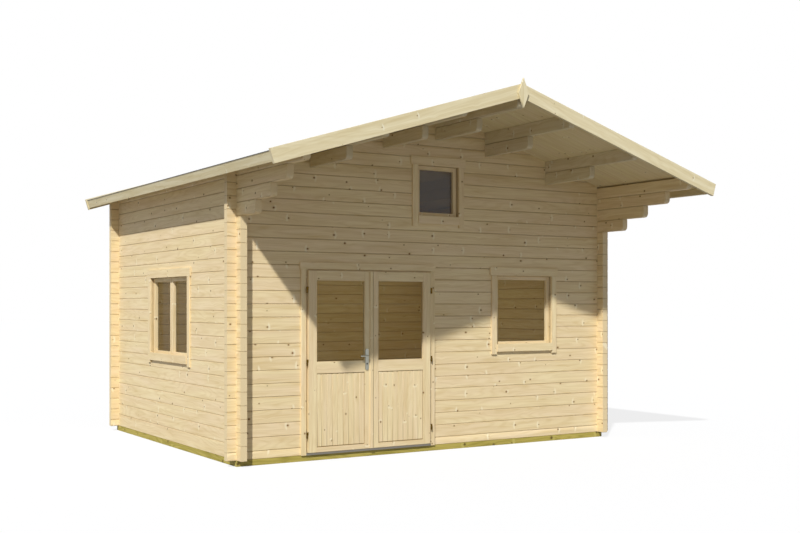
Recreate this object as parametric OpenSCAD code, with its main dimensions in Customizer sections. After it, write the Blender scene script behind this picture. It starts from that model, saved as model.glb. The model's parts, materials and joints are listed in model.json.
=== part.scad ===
// Log cabin with a gabled roof, a deep roofed front and a double door.
// Sizes are in millimetres. The origin is on the ground, at the centre of the log walls.
// X runs to the right along the front, Y to the rear and Z up.

/* [Log walls] */
// Width over the outer faces of the side walls
wall_w = 4800; // [4400:10:6000]
// Depth over the outer faces of the front and back walls
wall_d = 3800; // [3300:10:5000]
// Thickness of a log
log_t = 70; // [44:1:90]
// Height of one course of logs
log_p = 133.7; // [120:0.1:150]
// Size of the bevel along each long edge of a log
log_bevel = 5.5; // [3:0.5:9]
// How far a log runs past the face of the wall that it crosses
stub = 100; // [60:5:150]
// Height of the treated beams under the walls
base_h = 60; // [45:1:80]
// Height of the first course of the front and back walls
first_h = 83; // [70:1:120]
// Courses of a side wall under its sloped top log
side_courses = 21; // [20:1:24]
// Height of a side wall's top log at its outer face
eave_log_h = 133; // [115:1:150]

/* [Roof] */
// Slope of the roof in degrees
roof_pitch = 17.07; // [14:0.01:20]
// Thickness of the roof boards
deck_t = 19; // [16:1:28]
// Thickness of the roofing felt
felt_t = 4; // [2:0.5:8]
// Distance of the front bargeboards' outer faces from the front wall
front_reach = 1502; // [1400:1:1700]
// Distance of the rear bargeboards' outer faces from the back wall
rear_reach = 255; // [200:5:400]
// Distance along the slope from the side wall to the outer face of the eave board
eave_reach = 329; // [250:1:450]
// Width of an eave board
fascia_h = 98; // [70:1:120]
// Thickness of an eave board
fascia_t = 20; // [16:1:28]
// Width of a bargeboard
barge_h = 138; // [110:1:170]
// Thickness of a bargeboard
barge_t = 34; // [18:1:40]
// How far a bargeboard stands above the felt
barge_rise = 16.5; // [8:0.5:40]
// How far a bargeboard runs past the eave board
barge_over = 14; // [5:1:50]
// Width of the diamond board at the front peak
finial_w = 130; // [100:1:180]
// Height of the diamond board at the front peak
finial_h = 300; // [240:1:400]
// Thickness of the diamond board at the front peak
finial_t = 22; // [16:1:30]
// How far the diamond board's middle stands below the bargeboards' top edges
finial_drop = 96; // [40:1:140]

/* [Purlins and brackets] */
// Distance of the two inner purlins from the ridge
inner_purlin_x = 675; // [550:5:800]
// Distance of the two outer purlins from the ridge
outer_purlin_x = 1553; // [1350:5:1750]
// Least height of a purlin's two logs together
purlin_stack = 227; // [210:1:240]
// Reach of a purlin's lower log in front of the front wall
purlin_step = 780; // [600:10:1000]
// Reach of a side wall's lowest bracket log in front of the front wall
bracket_first = 446; // [350:1:600]
// How much further each bracket log reaches than the one below it
bracket_step = 343; // [250:1:380]
// Radius of the rounded lower corner of a purlin or bracket log
nose_r = 48; // [30:1:60]

/* [Floor] */
// Width of a floor joist
joist_w = 45; // [40:1:70]
// Largest distance between the middles of two floor joists
joist_pitch = 600; // [400:10:700]
// Thickness of the floor boards
floor_t = 19; // [16:1:28]
// Gap between the floor boards and the walls
floor_gap = 6; // [3:1:12]

/* [Doorway] */
// Distance of the doorway's middle from the left wall's outer face
door_x = 1527; // [1450:1:1700]
// Width over the two closed door leaves
leaves_w = 1494; // [1400:1:1560]
// Height of the underside of the door leaves
leaf_z = 87; // [80:1:100]
// Height of a door leaf
leaf_h = 1870; // [1800:1:1880]
// Thickness of a door leaf
leaf_t = 36; // [32:1:45]
// Gap between the two leaves
meet_gap = 7; // [6:0.5:9]
// Gap between a leaf's hinge side and its casing board
hinge_gap = 15; // [13:0.5:20]
// Gap between the leaves' top and the top casing board
top_gap = 15; // [8:0.5:20]
// Gap between the closed leaves and the door frame behind them
leaf_seat = 5; // [5:0.5:8]
// Width of a leaf's hinge-side member
stile_w = 96; // [80:1:110]
// Width of the right leaf's member beside the cover strip
meet_stile_w = 62; // [50:1:80]
// Width of a leaf's top member
top_rail_h = 101; // [90:1:130]
// Width of a leaf's middle member
lock_rail_h = 121; // [90:1:150]
// Height of the middle member's underside above the leaf's underside
lock_rail_z = 810; // [700:5:900]
// Width of a leaf's bottom member
bottom_rail_h = 50; // [40:1:120]
// Thickness of the boarded panel in a leaf
panel_t = 14; // [10:1:18]
// Depth of the panel's face behind the leaf's face
panel_set = 3; // [2:0.5:8]
// Width of the groove round the panel
panel_groove = 5; // [3:0.5:8]
// Thickness of every pane of glass
glass_t = 4; // [3:0.5:6]
// Depth of a pane's face behind the leaf's face
glass_set = 22; // [14:1:26]
// Width of the cover strip at the meeting edges
strip_w = 37; // [24:1:50]
// Thickness of the cover strip at the meeting edges
strip_t = 10; // [8:1:16]
// Thickness of the door frame's members
jamb_t = 45; // [40:1:55]
// How far the leaves overlap the door frame
jamb_lap = 14; // [10:1:20]
// Height of the metal threshold over the base beam
threshold_t = 21; // [14:1:21]
// Height of the threshold's front edge
threshold_h = 19; // [12:1:24]
// Reach of the threshold in front of the front wall
threshold_nose = 20; // [14:1:34]

/* [Door furniture] */
// Radius of a hinge knuckle
knuckle_r = 8; // [7:0.5:9]
// Distance of a hinge's axis from the leaf's edge
hinge_off = 17; // [16:0.5:20]
// Radius of a hinge pin
pin_r = 4; // [3:0.5:5]
// Height of one hinge knuckle
knuckle_h = 31; // [28:1:45]
// Radial gap around a hinge pin
pin_gap = 0.3; // [0.2:0.05:0.5]
// Height of the lowest hinge above the leaf's underside
hinge_z = 180; // [120:5:250]
// Height of the top hinge above the leaf's underside
hinge_top_z = 1671; // [1500:1:1700]
// Width of the lock plate
plate_w = 40; // [30:1:50]
// Height of the lock plate
plate_h = 226; // [200:1:260]
// Thickness of the lock plate
plate_t = 8; // [6:0.5:12]
// Height of the lock plate's middle above the leaf's underside
plate_z = 942; // [850:1:1050]
// Distance from the lock plate to the cover strip
plate_gap = 18; // [10:1:30]
// Height of the lever's spindle above the plate's middle
lever_z = 37; // [10:1:60]
// Length of the lever from its spindle
lever_l = 100; // [80:1:130]
// Radius of the lever
lever_r = 8; // [6:0.5:10]
// Distance of the lever's middle from the lock plate
lever_off = 38; // [30:1:55]

/* [Windows] */
// Width inside the casing of the front window
front_win_w = 805; // [600:1:900]
// Height between the front window's sill board and top board
front_win_h = 781; // [600:1:800]
// Height of the front window's sill board above the ground
front_win_z = 1157; // [1100:1:1250]
// Distance of the front window's middle from the right wall's outer face
front_win_x = 1198; // [950:1:1300]
// Width inside the casing of the gable window
gable_win_w = 540; // [400:1:620]
// Height between the gable window's sill board and top board
gable_win_h = 555; // [450:1:560]
// Height of the gable window's sill board above the ground
gable_win_z = 2580; // [2450:1:2600]
// Width inside the casing of the side window
side_win_w = 1190; // [900:1:1400]
// Height between the side window's sill board and top board
side_win_h = 872; // [600:1:950]
// Height of the side window's sill board above the ground
side_win_z = 1045; // [900:1:1250]
// Distance of the side window's middle from the front wall's outer face
side_win_y = 1900; // [1700:1:2100]
// How far the front window's and the side window's sill boards cover the sashes
sill_lap = 23; // [0:1:28]
// How far the gable window's sill board covers the sash
gable_sill_lap = 8; // [0:1:10]
// Thickness of the window frames' upright members
win_frame_t = 28; // [20:1:40]
// Least thickness of the window frames' level members
win_frame_min = 20; // [15:1:21]
// Depth of the sashes' faces behind the wall's face
sash_set = 30; // [4:1:32]
// Width of a sash's members
sash_w = 47; // [40:1:60]
// Thickness of a sash
sash_t = 40; // [30:1:44]
// Depth of a pane's face behind the sash's face
pane_set = 32; // [8:1:32]

/* [Casings] */
// Width of a side casing board at the door
door_casing_w = 58; // [50:1:90]
// Width of the top casing board at the door
door_top_h = 70; // [60:1:100]
// How far the door's top casing board runs past the side boards
door_ear = 12; // [5:1:30]
// Width of a side casing board at a window
casing_w = 70; // [55:1:90]
// Thickness of the casing boards
casing_t = 18; // [14:1:24]
// Width of a window's top casing board
casing_top_h = 95; // [70:1:110]
// How far a window's top casing board runs past the side boards
casing_ear = 21; // [10:1:35]
// Width of a window's sill board
sill_h = 89; // [85:1:110]
// Thickness of a window's sill board
sill_t = 28; // [24:1:36]
// How far the side boards run below the sill board
casing_foot = 30; // [10:1:45]

/* [Fits] */
// Gap between two neighbouring fixed pieces
fit = 0.3; // [0.2:0.05:0.5]

/* [Hidden] */
$fn = 48;
half_w = wall_w / 2;
half_d = wall_d / 2;
lap = log_p / 4;
slope = tan(roof_pitch);
front_joint0 = base_h + first_h;
side_joint0 = front_joint0 + log_p / 2;
eave_z = side_joint0 + (side_courses - 1) * log_p + eave_log_h;
ridge_z = eave_z + half_w * slope;
ridge_run = half_w / cos(roof_pitch);
roof_y0 = -half_d - front_reach + barge_t + fit;
roof_y1 = half_d + rear_reach - barge_t - fit;
over = 1;

// Heights of the joints under each course, and of the roof boards' underside.
function front_z(k) = k == 0 ? base_h + fit : front_joint0 + (k - 1) * log_p;
function side_z(k) = k == 0 ? base_h + fit : side_joint0 + (k - 1) * log_p;
function roof_z(x) = ridge_z - abs(x) * slope;
function purlin_course(x) = 1 + floor((roof_z(x) - purlin_stack - side_joint0) / log_p);
function gable_course() = ceil((roof_z(half_w + stub) - front_joint0) / log_p);
function last_course() = 1 + floor((ridge_z - front_joint0 - lap) / log_p);
purlin_places = [-outer_purlin_x, -inner_purlin_x, 0, inner_purlin_x, outer_purlin_x];

// Cross-section of a log: u across its thickness, v up its height.
module log_section(h) {
    b = log_bevel;
    polygon([[0, b], [b, fit], [log_t - b, fit], [log_t, b],
        [log_t, h - b], [log_t - b, h], [b, h], [0, h - b]]);
}

// A log along X with its outer face at the front wall's face.
module log_x(x0, x1, z0, z1) {
    translate([x0, -half_d, z0]) rotate([90, 0, 90]) linear_extrude(x1 - x0) log_section(z1 - z0);
}

// A log along Y with its outer face at x.
module log_y(x, y0, y1, z0, z1) {
    translate([x, y1, z0]) rotate([90, 0, 0]) linear_extrude(y1 - y0) log_section(z1 - z0);
}

// The space under the roof boards.
module under_roof() {
    x = half_w + 2 * stub;
    translate([0, wall_d, 0]) rotate([90, 0, 0]) linear_extrude(2 * wall_d)
        polygon([[-x, 0], [x, 0], [x, roof_z(x) - fit], [0, ridge_z - fit], [-x, roof_z(x) - fit]]);
}

// The part of a crossing log that fills a front log's notch.
module notch(x, z0, z1) {
    translate([x - fit / 2, -half_d - over, z0 - fit / 2])
        cube([log_t + fit, log_t + 2 * over, z1 - z0 + fit]);
}

// Notches of front course k at the side walls.
module corner_notches(k) {
    lo = front_z(k);
    hi = front_z(k + 1);
    for (x = [-half_w, half_w - log_t]) {
        if (k > 0) notch(x, lo - over, lo + lap);
        notch(x, hi - lap, hi + over);
    }
}

// The stubs of a front log that would stand in the roof, with the side walls' top logs.
module eave_cuts(k) {
    if (front_z(k + 1) > roof_z(half_w + stub)) for (s = [0, 1]) mirror([s, 0, 0])
        translate([-half_w - stub - over, -half_d - over, front_z(k) - over])
            cube([stub + log_t + over + fit, log_t + 2 * over, log_p + 2 * over]);
}

// Notches that the purlins' logs cut in the gable.
module purlin_notches() {
    for (x = purlin_places) {
        m = purlin_course(x);
        notch(x - log_t / 2, side_z(m) + lap, side_z(m) + 3 * lap);
        notch(x - log_t / 2, side_z(m + 1) + lap, ridge_z);
    }
}

// Courses k0 to k1 of the front wall, from x0 to x1.
module front_courses(k0, k1, x0, x1) {
    for (k = [k0 : k1]) difference() {
        log_x(x0, x1, front_z(k), front_z(k + 1));
        corner_notches(k);
        eave_cuts(k);
    }
}

// The front wall's gable logs from course k0 up, cut to the roof and notched for the purlins.
module gable_courses(k0) {
    for (k = [k0 : last_course()]) difference() {
        intersection() {
            log_x(-half_w - stub, half_w + stub, front_z(k), front_z(k + 1));
            under_roof();
        }
        corner_notches(k);
        eave_cuts(k);
        purlin_notches();
    }
}

// The number of the joint at or under height z, and at or over it, counted from joint z0.
function joint_under(z, z0) = 1 + floor((z - z0) / log_p);
function joint_over(z, z0) = 1 + ceil((z - z0) / log_p);

// The middles and half widths of the cuts through the walls.
door_cx = -half_w + door_x;
door_half = leaves_w / 2;
door_cut = door_half - jamb_lap + jamb_t + fit;
door_k = joint_over(leaf_z + leaf_h - jamb_lap + jamb_t, front_joint0);
front_win_cx = half_w - front_win_x;
front_cut = front_win_w / 2 + win_frame_t + fit;
gable_cut = gable_win_w / 2 + win_frame_t + fit;
side_cut = side_win_w / 2 + win_frame_t + fit;
side_win_cy = -half_d + side_win_y;

// The cuts' lower and upper joints, where whole courses of logs stop for each window.
front_win_k = [joint_under(front_win_z - sill_lap - win_frame_min, front_joint0),
    joint_over(front_win_z + front_win_h + win_frame_min, front_joint0)];
gable_win_k = [joint_under(gable_win_z - gable_sill_lap - win_frame_min, front_joint0),
    joint_over(gable_win_z + gable_win_h + win_frame_min, front_joint0)];
side_win_k = [joint_under(side_win_z - sill_lap - win_frame_min, side_joint0),
    joint_over(side_win_z + side_win_h + win_frame_min, side_joint0)];

// A cut through the front wall from x - half to x + half, between joints k0 and k1.
module front_opening(x, half, k0, k1) {
    z0 = front_z(k0) - (k0 == 0 ? over : 0);
    translate([x - half, -half_d - over, z0]) cube([2 * half, log_t + 2 * over, front_z(k1) + fit - z0]);
}

module front_openings() {
    front_opening(door_cx, door_cut, 0, door_k);
    front_opening(front_win_cx, front_cut, front_win_k[0], front_win_k[1]);
    front_opening(0, gable_cut, gable_win_k[0], gable_win_k[1]);
}

module front_wall_left() {
    color("burlywood") front_courses(0, door_k - 1, -half_w - stub, door_cx - door_cut);
}

module front_wall_right() {
    color("burlywood") difference() {
        front_courses(0, door_k - 1, door_cx + door_cut, half_w + stub);
        front_openings();
    }
}

module front_wall_top() {
    color("burlywood") difference() {
        front_courses(door_k, gable_course() - 1, -half_w - stub, half_w + stub);
        front_openings();
    }
}

module front_gable() {
    color("burlywood") difference() {
        gable_courses(gable_course());
        front_openings();
    }
}

module back_wall() {
    color("burlywood") mirror([0, 1, 0])
        front_courses(0, gable_course() - 1, -half_w - stub, half_w + stub);
}

module back_gable() {
    color("burlywood") mirror([0, 1, 0]) gable_courses(gable_course());
}

// Rounds the lower front corner of a log that ends at y0.
module nose_cut(x, y0, z0) {
    translate([x - over, y0, z0 + fit]) difference() {
        translate([0, -over, -over]) cube([log_t + 2 * over, nose_r + over, nose_r + over]);
        translate([-over, nose_r, nose_r]) rotate([0, 90, 0]) cylinder(r = nose_r, h = log_t + 4 * over);
    }
}

// Notches of a log along Y where it crosses the front and back walls.
module cross_notches(x, z0, z1, low, high) {
    for (s = [0, 1]) mirror([0, s, 0]) {
        if (low > 0) translate([x - over, -half_d - fit / 2, z0 - over])
            cube([log_t + 2 * over, log_t + fit, low + over + fit / 2]);
        if (high > 0) translate([x - over, -half_d - fit / 2, z1 - high - fit / 2])
            cube([log_t + 2 * over, log_t + fit, high + over + fit / 2]);
    }
}

// Course k of the left wall, from y0 to y1.
module side_log(k, y0, y1) {
    low = k == 0 ? front_joint0 - lap - base_h : lap;
    difference() {
        log_y(-half_w, y0, y1, side_z(k), side_z(k + 1));
        cross_notches(-half_w, side_z(k), side_z(k + 1), low, k < side_courses ? lap : 0);
    }
}

module left_courses() {
    for (k = [0 : side_courses - 4]) side_log(k, -half_d - stub, half_d + stub);
}

module side_opening() {
    z0 = side_z(side_win_k[0]);
    translate([-half_w - over, side_win_cy - side_cut, z0])
        cube([log_t + 2 * over, 2 * side_cut, side_z(side_win_k[1]) + fit - z0]);
}

module left_wall() {
    color("burlywood") difference() {
        left_courses();
        side_opening();
    }
}

module right_wall() {
    color("burlywood") mirror([1, 0, 0]) left_courses();
}

// The long upper logs of a side wall, which step out under the front of the roof.
module side_brackets() {
    for (i = [0 : 2]) {
        y0 = -half_d - bracket_first - i * bracket_step;
        k = side_courses - 3 + i;
        difference() {
            side_log(k, y0, half_d + stub);
            nose_cut(-half_w, y0, side_z(k));
        }
    }
    difference() {
        intersection() {
            side_log(side_courses, roof_y0 + fit, roof_y1 - fit);
            under_roof();
        }
        nose_cut(-half_w, roof_y0 + fit, side_z(side_courses));
    }
}

module left_brackets() { color("burlywood") side_brackets(); }
module right_brackets() { color("burlywood") mirror([1, 0, 0]) side_brackets(); }

// A purlin of two stacked logs centred on x, the upper one cut to the roof.
module purlin(x) {
    m = purlin_course(x);
    x0 = x - log_t / 2;
    y0 = -half_d - purlin_step;
    difference() {
        log_y(x0, y0, half_d + stub, side_z(m), side_z(m + 1));
        cross_notches(x0, side_z(m), side_z(m + 1), lap, lap);
        nose_cut(x0, y0, side_z(m));
    }
    difference() {
        intersection() {
            log_y(x0, roof_y0 + fit, roof_y1 - fit, side_z(m + 1), side_z(m + 3));
            under_roof();
        }
        cross_notches(x0, side_z(m + 1), side_z(m + 3), lap, 0);
        nose_cut(x0, roof_y0 + fit, side_z(m + 1));
    }
}

module ridge_purlin() { color("burlywood") purlin(0); }
module inner_purlins() { color("burlywood") for (s = [-1, 1]) purlin(s * inner_purlin_x); }
module outer_purlins() { color("burlywood") for (s = [-1, 1]) purlin(s * outer_purlin_x); }

// Places children in the left slope's frame: x up the slope from the wall's face, z off the boards.
module on_slope() {
    translate([-half_w, 0, eave_z]) rotate([0, -roof_pitch, 0]) children();
}

// Keeps what lies left of the ridge's middle plane.
module left_of_ridge() {
    size = 2 * (wall_w + wall_d);
    intersection() {
        children();
        translate([-size - fit / 2, -size / 2, -size / 2]) cube(size);
    }
}

// A board of the left slope, from s0 up to the ridge, between heights z0 and z1 off the boards.
module slope_board(s0, y0, y1, z0, z1) {
    left_of_ridge() on_slope()
        translate([s0, y0, z0]) cube([ridge_run - s0 + barge_h, y1 - y0, z1 - z0]);
}

module deck_half() { slope_board(-eave_reach + fascia_t + fit, roof_y0, roof_y1, 0, deck_t); }
module felt_half() {
    slope_board(-eave_reach - felt_t, roof_y0, roof_y1, deck_t + fit, deck_t + fit + felt_t);
}

barge_top = deck_t + felt_t + barge_rise;
module barge_half(y0) {
    slope_board(-eave_reach - barge_over, y0, y0 + barge_t, barge_top - barge_h, barge_top);
}

module roof_deck_left() { color("wheat") deck_half(); }
module roof_deck_right() { color("wheat") mirror([1, 0, 0]) deck_half(); }
module roof_felt_left() { color("dimgray") felt_half(); }
module roof_felt_right() { color("dimgray") mirror([1, 0, 0]) felt_half(); }

module eave_boards() {
    color("wheat") for (s = [0, 1]) mirror([s, 0, 0]) on_slope()
        translate([-eave_reach, roof_y0, deck_t - fascia_h]) cube([fascia_t, roof_y1 - roof_y0, fascia_h]);
}

module front_bargeboards() {
    color("wheat") for (s = [0, 1]) mirror([s, 0, 0]) barge_half(-half_d - front_reach);
}

module rear_bargeboards() {
    color("wheat") for (s = [0, 1]) mirror([s, 0, 0]) barge_half(half_d + rear_reach - barge_t);
}

// Diamond board over the joint of the front bargeboards.
finial_z = ridge_z + barge_top / cos(roof_pitch) - finial_drop;
module finial() {
    color("wheat") translate([0, -half_d - front_reach - fit, finial_z]) rotate([90, 0, 0])
        linear_extrude(finial_t) polygon([[-finial_w / 2, 0], [0, -finial_h / 2],
            [finial_w / 2, 0], [0, finial_h / 2]]);
}

module base_beams() {
    color("darkkhaki") {
        for (y = [-half_d, half_d - log_t]) translate([-half_w, y, 0]) cube([wall_w, log_t, base_h]);
        for (x = [-half_w, half_w - log_t]) translate([x, -half_d + log_t + fit, 0])
            cube([log_t, wall_d - 2 * log_t - 2 * fit, base_h]);
    }
}

module floor_joists() {
    span = wall_w - 2 * log_t - 2 * joist_w;
    n = ceil(span / joist_pitch);
    color("darkkhaki") for (i = [0 : n])
        translate([-span / 2 + i * span / n - joist_w / 2, -half_d + log_t + fit, 0])
            cube([joist_w, wall_d - 2 * log_t - 2 * fit, base_h]);
}

module floor_deck() {
    w = wall_w - 2 * log_t - 2 * floor_gap;
    d = wall_d - 2 * log_t - 2 * floor_gap;
    color("wheat") translate([-w / 2, -d / 2, base_h + fit]) cube([w, d, floor_t]);
}

// Door frame: two sides and a head, standing on the threshold.
frame_back = log_t + 6;
frame_in = door_half - jamb_lap;
frame_top = front_z(door_k) - fit;
frame_z = base_h + 2 * fit + threshold_t;
head_z = leaf_z + leaf_h - jamb_lap;

module door_frame() {
    color("wheat") translate([door_cx, -half_d, 0]) {
        for (s = [0, 1]) mirror([s, 0, 0])
            translate([frame_in, 0, frame_z]) cube([jamb_t, frame_back, frame_top - frame_z]);
        translate([-frame_in + fit, 0, head_z])
            cube([2 * (frame_in - fit), frame_back, frame_top - head_z]);
    }
}

// Casing boards round the doorway, on the face of the wall.
casing_in = door_half + hinge_gap;
module door_casing() {
    z0 = base_h + fit;
    z1 = leaf_z + leaf_h + top_gap;
    top_w = casing_in + door_casing_w + door_ear;
    color("wheat") translate([door_cx, -half_d - fit - casing_t, 0]) {
        for (s = [0, 1]) mirror([s, 0, 0])
            translate([casing_in, 0, z0]) cube([door_casing_w, casing_t, z1 - z0 - fit]);
        translate([-top_w, 0, z1]) cube([2 * top_w, casing_t, door_top_h]);
    }
}

// Metal threshold: a sill in the doorway and a nose in front of the wall, between the casing boards.
lip_t = 4;
module threshold() {
    out_w = 2 * (casing_in - fit);
    in_w = 2 * (frame_in + jamb_t);
    color("silver") translate([door_cx, -half_d, base_h + fit]) {
        translate([-in_w / 2, 0, 0]) cube([in_w, frame_back, threshold_t]);
        translate([-out_w / 2, -threshold_nose, 0]) cube([out_w, threshold_nose + over, threshold_t]);
        translate([-out_w / 2, -threshold_nose, threshold_t - threshold_h]) cube([out_w, lip_t, threshold_h]);
    }
}

// Hinges: each axis stands in front of a casing board's inner edge.
axis_x = door_half + hinge_off;
axis_y = -half_d - leaf_seat - leaf_t + knuckle_r / 2;
hinge_levels = [hinge_z, (hinge_z + hinge_top_z) / 2, hinge_top_z];
strap_t = 3;

// One side's three lower knuckles with their pins. A strap holds each to the door frame, past the
// casing board's edge.
module frame_hinges() {
    reach = -half_d - fit - axis_y;
    strap_x = hinge_off - hinge_gap + strap_t;
    color("saddlebrown") for (s = [0, 1], z = hinge_levels)
        translate([door_cx, axis_y, leaf_z + z - knuckle_h]) mirror([s, 0, 0]) translate([-axis_x, 0, 0]) {
            cylinder(r = knuckle_r, h = knuckle_h);
            cylinder(r = pin_r, h = 2 * knuckle_h);
            translate([strap_x, 0, 0]) cube([strap_t, reach, knuckle_h]);
            translate([strap_x, reach - strap_t, 0]) cube([hinge_gap - 3 * strap_t, strap_t, knuckle_h]);
        }
}

// One leaf's three upper knuckles, each with a strap let into the leaf's edge.
module leaf_knuckles() {
    for (z = hinge_levels) translate([-hinge_off, leaf_y, z + knuckle_gap]) difference() {
        union() {
            cylinder(r = knuckle_r, h = knuckle_h);
            translate([0, -strap_t / 2, 0]) cube([hinge_off - fit, strap_t, knuckle_h]);
        }
        translate([0, 0, -over]) cylinder(r = pin_r + pin_gap, h = knuckle_h + 2 * over);
    }
}

// A door leaf in its own frame: x from its hinge side, y from its face, z from its underside.
leaf_y = knuckle_r / 2;
knuckle_gap = 1;
left_leaf_w = door_half + strip_w / 2 - meet_gap / 2;
right_leaf_w = door_half - strip_w / 2 - meet_gap / 2;
panel_w = right_leaf_w - stile_w - meet_stile_w;
pane_z0 = lock_rail_z + lock_rail_h;
pane_z1 = leaf_h - top_rail_h;

module leaf_frame(w) {
    difference() {
        cube([w, leaf_t, leaf_h]);
        translate([stile_w, -over, bottom_rail_h])
            cube([panel_w, leaf_t + 2 * over, lock_rail_z - bottom_rail_h]);
        translate([stile_w, -over, pane_z0]) cube([panel_w, leaf_t + 2 * over, pane_z1 - pane_z0]);
    }
}

// The boarded panel: a face with a groove round it, in front of a back that fills the opening.
module leaf_panel() {
    h = lock_rail_z - bottom_rail_h;
    g = panel_groove;
    translate([stile_w, panel_set, bottom_rail_h]) {
        translate([g, 0, g]) cube([panel_w - 2 * g, panel_t, h - 2 * g]);
        translate([fit, panel_t / 2, fit]) cube([panel_w - 2 * fit, panel_t / 2, h - 2 * fit]);
    }
}

module leaf_pane() {
    translate([stile_w + fit, glass_set, pane_z0 + fit])
        cube([panel_w - 2 * fit, glass_t, pane_z1 - pane_z0 - 2 * fit]);
}

module at_left_leaf() {
    translate([door_cx - door_half, -half_d - leaf_seat - leaf_t, leaf_z]) children();
}

module at_right_leaf() {
    translate([door_cx + door_half, -half_d - leaf_seat - leaf_t, leaf_z]) mirror([1, 0, 0]) children();
}

module left_leaf() {
    color("wheat") at_left_leaf() {
        leaf_frame(left_leaf_w);
        leaf_panel();
    }
}

module right_leaf() {
    color("wheat") at_right_leaf() {
        leaf_frame(right_leaf_w);
        leaf_panel();
    }
}

module left_leaf_glass() { color("lightblue", 0.5) at_left_leaf() leaf_pane(); }
module right_leaf_glass() { color("lightblue", 0.5) at_right_leaf() leaf_pane(); }
module left_leaf_hinges() { color("saddlebrown") at_left_leaf() leaf_knuckles(); }
module right_leaf_hinges() { color("saddlebrown") at_right_leaf() leaf_knuckles(); }

// Cover strip along the left leaf's meeting edge.
module cover_strip() {
    color("wheat") at_left_leaf() translate([left_leaf_w - strip_w, -fit - strip_t, 0])
        cube([strip_w, strip_t, leaf_h]);
}

// Lock plate and lever on the left leaf, with the cylinder's keyhole in the plate.
plate_x = left_leaf_w - strip_w - plate_gap - plate_w / 2;
keyhole_r = 6;
keyhole_d = 3;
module lock_plate() {
    run = plate_h - plate_w;
    color("silver") at_left_leaf() translate([plate_x, -fit, plate_z]) rotate([90, 0, 0]) difference() {
        union() {
            translate([-plate_w / 2, -run / 2, 0]) cube([plate_w, run, plate_t]);
            for (s = [-1, 1]) translate([0, s * run / 2, 0]) cylinder(d = plate_w, h = plate_t);
        }
        translate([0, -run / 4, plate_t - keyhole_d]) cylinder(r = keyhole_r, h = keyhole_d + over);
    }
}

module lever() {
    neck_r = lever_r * 1.3;
    color("silver") at_left_leaf() translate([plate_x, -2 * fit - plate_t, plate_z + lever_z])
        rotate([90, 0, 0]) {
            cylinder(r = neck_r, h = lever_off + lever_r);
            translate([0, 0, lever_off]) rotate([0, -90, 0]) cylinder(r = lever_r, h = lever_l);
        }
}

// A window in its own frame: x from its middle, y from the wall's face, z from the ground.
// z and h are the sashes' underside and height, k0 and k1 the heights of the wall's cut.
module window_parts(w, z, h, k0, k1, sashes) {
    side = w / 2 + win_frame_t;
    each_w = w / sashes;
    translate([-side, 0, k0 + fit]) difference() {
        cube([2 * side, frame_back, k1 - k0 - fit]);
        translate([win_frame_t, -over, z - k0 - fit]) cube([w, frame_back + 2 * over, h]);
    }
    for (i = [0 : sashes - 1]) translate([-w / 2 + i * each_w + fit, sash_set, z + fit]) difference() {
        cube([each_w - 2 * fit, sash_t, h - 2 * fit]);
        translate([sash_w, -over, sash_w])
            cube([each_w - 2 * fit - 2 * sash_w, sash_t + 2 * over, h - 2 * fit - 2 * sash_w]);
    }
}

module window_panes(w, z, h, sashes) {
    each_w = w / sashes;
    edge = sash_w + 2 * fit;
    for (i = [0 : sashes - 1])
        translate([-w / 2 + i * each_w + edge, sash_set + pane_set, z + edge])
            cube([each_w - 2 * edge, glass_t, h - 2 * edge]);
}

module window_boards(w, z, h) {
    top_w = w / 2 + casing_w + casing_ear;
    low = z - sill_h - casing_foot;
    translate([0, -fit, 0]) {
        for (s = [0, 1]) mirror([s, 0, 0])
            translate([w / 2, -casing_t, low]) cube([casing_w, casing_t, z + h - low - fit]);
        translate([-top_w, -casing_t, z + h]) cube([2 * top_w, casing_t, casing_top_h]);
        translate([-w / 2 + fit, -sill_t, z - sill_h]) cube([w - 2 * fit, sill_t, sill_h]);
    }
}

module at_front_window() { translate([front_win_cx, -half_d, 0]) children(); }
module at_gable_window() { translate([0, -half_d, 0]) children(); }
module at_side_window() { translate([-half_w, side_win_cy, 0]) rotate([0, 0, -90]) children(); }

module front_window() {
    color("wheat") at_front_window() window_parts(front_win_w, front_win_z - sill_lap,
        front_win_h + sill_lap, front_z(front_win_k[0]), front_z(front_win_k[1]), 1);
}

module gable_window() {
    color("wheat") at_gable_window() window_parts(gable_win_w, gable_win_z - gable_sill_lap,
        gable_win_h + gable_sill_lap, front_z(gable_win_k[0]), front_z(gable_win_k[1]), 1);
}

module side_window() {
    color("wheat") at_side_window() window_parts(side_win_w, side_win_z - sill_lap,
        side_win_h + sill_lap, side_z(side_win_k[0]), side_z(side_win_k[1]), 2);
}

module front_window_glass() {
    color("lightblue", 0.5) at_front_window()
        window_panes(front_win_w, front_win_z - sill_lap, front_win_h + sill_lap, 1);
}

module gable_window_glass() {
    color("lightblue", 0.5) at_gable_window()
        window_panes(gable_win_w, gable_win_z - gable_sill_lap, gable_win_h + gable_sill_lap, 1);
}

module side_window_glass() {
    color("lightblue", 0.5) at_side_window()
        window_panes(side_win_w, side_win_z - sill_lap, side_win_h + sill_lap, 2);
}

module front_window_casing() {
    color("wheat") at_front_window() window_boards(front_win_w, front_win_z, front_win_h);
}

module gable_window_casing() {
    color("wheat") at_gable_window() window_boards(gable_win_w, gable_win_z, gable_win_h);
}

module side_window_casing() {
    color("wheat") at_side_window() window_boards(side_win_w, side_win_z, side_win_h);
}

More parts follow.
